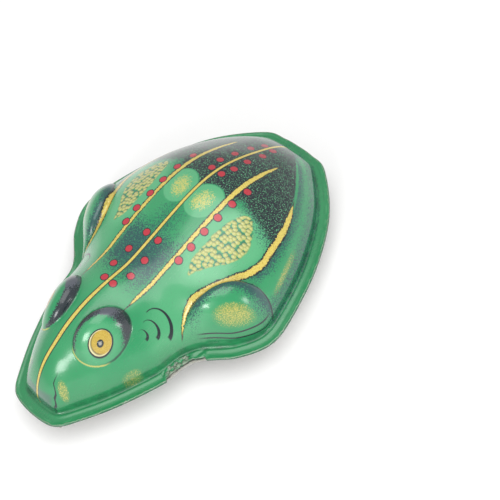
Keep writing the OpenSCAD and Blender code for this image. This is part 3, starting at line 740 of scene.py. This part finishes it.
def enamel(name, colour, worn):
    """Gloss paint on thin tin, rubbed through in places."""
    m = Finish(name)
    rub = (m.noise(0.7, 4.0) * 0.7 + m.noise(3.0, 2.0) * 0.3).ramp(0.62, 0.68)
    base = m.coat(colour, m.noise(0.2, 2.0) * 0.3, tuple(c * 0.6 for c in colour))
    m.set("Base Color", m.coat(base, rub * 0.8, worn))
    m.set("Metallic", rub * 0.8)
    m.set("Roughness", rub * 0.2 + 0.28)
    m.bump(m.noise(0.5, 2.0), 0.2, 0.0002)
    return m.material


# ---------------------------------------------------------------- pieces


def new_object(name):
    """Names the object that an operator just made."""
    made = bpy.context.object
    made.name = made.data.name = name
    return made


def dress(names, material):
    """Gives the CAD nodes a material."""
    for name in names:
        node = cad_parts[name]
        node.data.materials.clear()
        node.data.materials.append(material)


class FROG_OT_shell(Operator):
    """Press the shell with its eye domes, leg bumps and beaded flange, and print it"""

    bl_idname = "frog.shell"
    bl_label = "Printed shell"

    def execute(self, context):
        sizes, inks = context.scene.frog_sizes, context.scene.frog_inks
        low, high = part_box("top_shell")
        plate_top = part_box("base_plate")[1].z
        rows, rims = shell_grid(sizes, (high.y - low.y) / MM, plate_top / MM + FLANGE_LIFT)
        bpy.ops.object.select_all(action="DESELECT")
        bpy.ops.mesh.primitive_grid_add(
            x_subdivisions=rows.shape[1] - 1, y_subdivisions=rows.shape[0] - 1, size=2, location=(0, 0, 0)
        )
        shell = new_object("printed_shell")
        mesh = shell.data
        flat = np.empty(len(mesh.vertices) * 3, np.float32)
        mesh.vertices.foreach_get("co", flat)
        flat = flat.reshape(-1, 3)
        column = np.rint((flat[:, 0] + 1) / 2 * (rows.shape[1] - 1)).astype(int)
        row = np.rint((flat[:, 1] + 1) / 2 * (rows.shape[0] - 1)).astype(int)
        mesh.vertices.foreach_set("co", (rows[row, column] * MM).astype(np.float32).ravel())
        rim = mesh.attributes.new("rim", "FLOAT", "POINT")
        rim.data.foreach_set("value", rims[row, column].astype(np.float32))
        bpy.ops.object.mode_set(mode="EDIT")
        bpy.ops.mesh.select_all(action="SELECT")
        bpy.ops.mesh.remove_doubles(threshold=2e-6)
        bpy.ops.object.mode_set(mode="OBJECT")
        bpy.ops.object.shade_smooth()
        mesh.materials.append(printed_tin(inks))
        mesh.materials.append(plain_metal("inside_tin", inks.bare, 0.4))
        wall = shell.modifiers.new("sheet", "SOLIDIFY")
        wall.thickness = sizes.sheet
        wall.offset = -1
        wall.material_offset = 1
        bpy.ops.object.modifier_apply(modifier=wall.name)
        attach(shell, "chassis")
        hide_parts("top_shell")
        return {"FINISHED"}


class FROG_OT_metals(Operator):
    """Finish the base plate, the clockwork, the key and the feet"""

    bl_idname = "frog.metals"
    bl_label = "Metals and feet"

    def execute(self, context):
        inks = context.scene.frog_inks
        dress(
            ("base_plate", "shell_tabs", "kicker_brackets"),
            plain_metal("tinplate", (0.5, 0.49, 0.45), 0.36, stain=(0.2, 0.14, 0.09)),
        )
        dress(("key",), plain_metal("key_tin", (0.6, 0.59, 0.56), 0.32, stain=(0.25, 0.2, 0.14)))
        dress(
            ("winding_arbor", "second_arbor", "cam_arbor", "fly_arbor", "kicker_pin", "pillars", "rivets",
             "click_rivet", "kicker_tube", "kicker_arm"),
            plain_metal("turned_steel", (0.55, 0.55, 0.56), 0.3, 0.6, (1.0, 1.0, 8.0)),
        )
        dress(
            ("second_pinion", "cam_pinion", "fly_pinion", "snail_cam", "ratchet_wheel", "click"),
            plain_metal("cut_steel", (0.46, 0.46, 0.48), 0.38),
        )
        dress(
            ("great_wheel", "second_wheel", "third_wheel", "flywheel", "lower_plate", "upper_plate"),
            plain_metal("brass_sheet", (0.72, 0.52, 0.2), 0.34, 0.5, (6.0, 0.6, 1.0), (0.28, 0.16, 0.05)),
        )
        dress(
            ("mainspring", "click_spring", "kicker_spring"),
            plain_metal("spring_steel", (0.16, 0.18, 0.25), 0.3),
        )
        dress(
            ("hind_leg_left", "hind_leg_right", "hind_foot_left", "hind_foot_right",
             "front_foot_left", "front_foot_right"),
            enamel("green_tin", tuple(inks.deep), tuple(inks.bare)),
        )
        return {"FINISHED"}


class FROG_OT_stage(Operator):
    """Lay the floor, hang the lights and aim the camera"""

    bl_idname = "frog.stage"
    bl_label = "Stage"

    def execute(self, context):
        scene = context.scene
        bpy.ops.object.select_all(action="DESELECT")
        bpy.ops.mesh.primitive_plane_add(size=6, location=(0, 0, 0))
        floor = new_object("floor")
        paper = bpy.data.materials.new("pale_floor")
        paper.use_nodes = True
        shader = paper.node_tree.nodes["Principled BSDF"]
        shader.inputs["Base Color"].default_value = (0.95, 0.95, 0.945, 1)
        shader.inputs["Roughness"].default_value = 0.8
        floor.data.materials.append(paper)

        world = bpy.data.worlds.new("studio")
        world.use_nodes = True
        world.node_tree.nodes["Background"].inputs["Color"].default_value = (1, 1, 1, 1)
        world.node_tree.nodes["Background"].inputs["Strength"].default_value = 0.62
        scene.world = world
        scene.view_settings.view_transform = "Standard"

        # place and size in metres, power in watts
        for name, place, size, power in (
            ("overhead", (0.2, 0.08, 0.95), (0.9, 0.9), 5.6),
            ("front_box", (0.34, -0.62, 0.38), (0.26, 0.26), 2.2),
            ("side_box", (0.7, 0.2, 0.12), (0.14, 0.14), 0.5),
        ):
            bpy.ops.object.light_add(type="AREA", location=place)
            lamp = new_object(name)
            lamp.data.shape = "RECTANGLE"
            lamp.data.size, lamp.data.size_y = size
            lamp.data.energy = power
            lamp.rotation_euler = (-Vector(place)).to_track_quat("-Z", "Y").to_euler()

        bpy.ops.object.camera_add()
        camera = new_object("camera")
        around, above, roll = (math.radians(v) for v in (55.61, 57.17, -15.55))
        level = math.cos(above)
        back = Vector((math.sin(around) * level, -math.cos(around) * level, math.sin(above)))
        turn = (-back).to_track_quat("-Z", "Y") @ Quaternion((0, 0, 1), roll)
        camera.matrix_world = Matrix.LocRotScale(Vector((0.18011, -0.09150, 0.32184)), turn, None)
        camera.data.sensor_width = 36
        camera.data.lens = 82.811
        camera.data.clip_start, camera.data.clip_end = 0.01, 10
        scene.camera = camera
        return {"FINISHED"}


class FROG_PT_panel(Panel):
    """Buttons and settings for the frog"""

    bl_label = "Tin frog"
    bl_idname = "FROG_PT_panel"
    bl_space_type = "VIEW_3D"
    bl_region_type = "UI"
    bl_category = "Frog"

    def draw(self, context):
        for operator in OPERATORS:
            self.layout.operator(operator.bl_idname)
        for group in (context.scene.frog_sizes, context.scene.frog_inks):
            for name in group.__annotations__:
                self.layout.prop(group, name)


OPERATORS = (FROG_OT_shell, FROG_OT_metals, FROG_OT_stage)
CLASSES = (FrogSizes, FrogInks, *OPERATORS, FROG_PT_panel)


def register():
    for cls in CLASSES:
        bpy.utils.register_class(cls)
    bpy.types.Scene.frog_sizes = PointerProperty(type=FrogSizes)
    bpy.types.Scene.frog_inks = PointerProperty(type=FrogInks)


def unregister():
    del bpy.types.Scene.frog_inks
    del bpy.types.Scene.frog_sizes
    for cls in reversed(CLASSES):
        bpy.utils.unregister_class(cls)


def main():
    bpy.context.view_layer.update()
    register()
    bpy.ops.frog.shell()
    bpy.ops.frog.metals()
    bpy.ops.frog.stage()


if __name__ == "__main__":
    main()
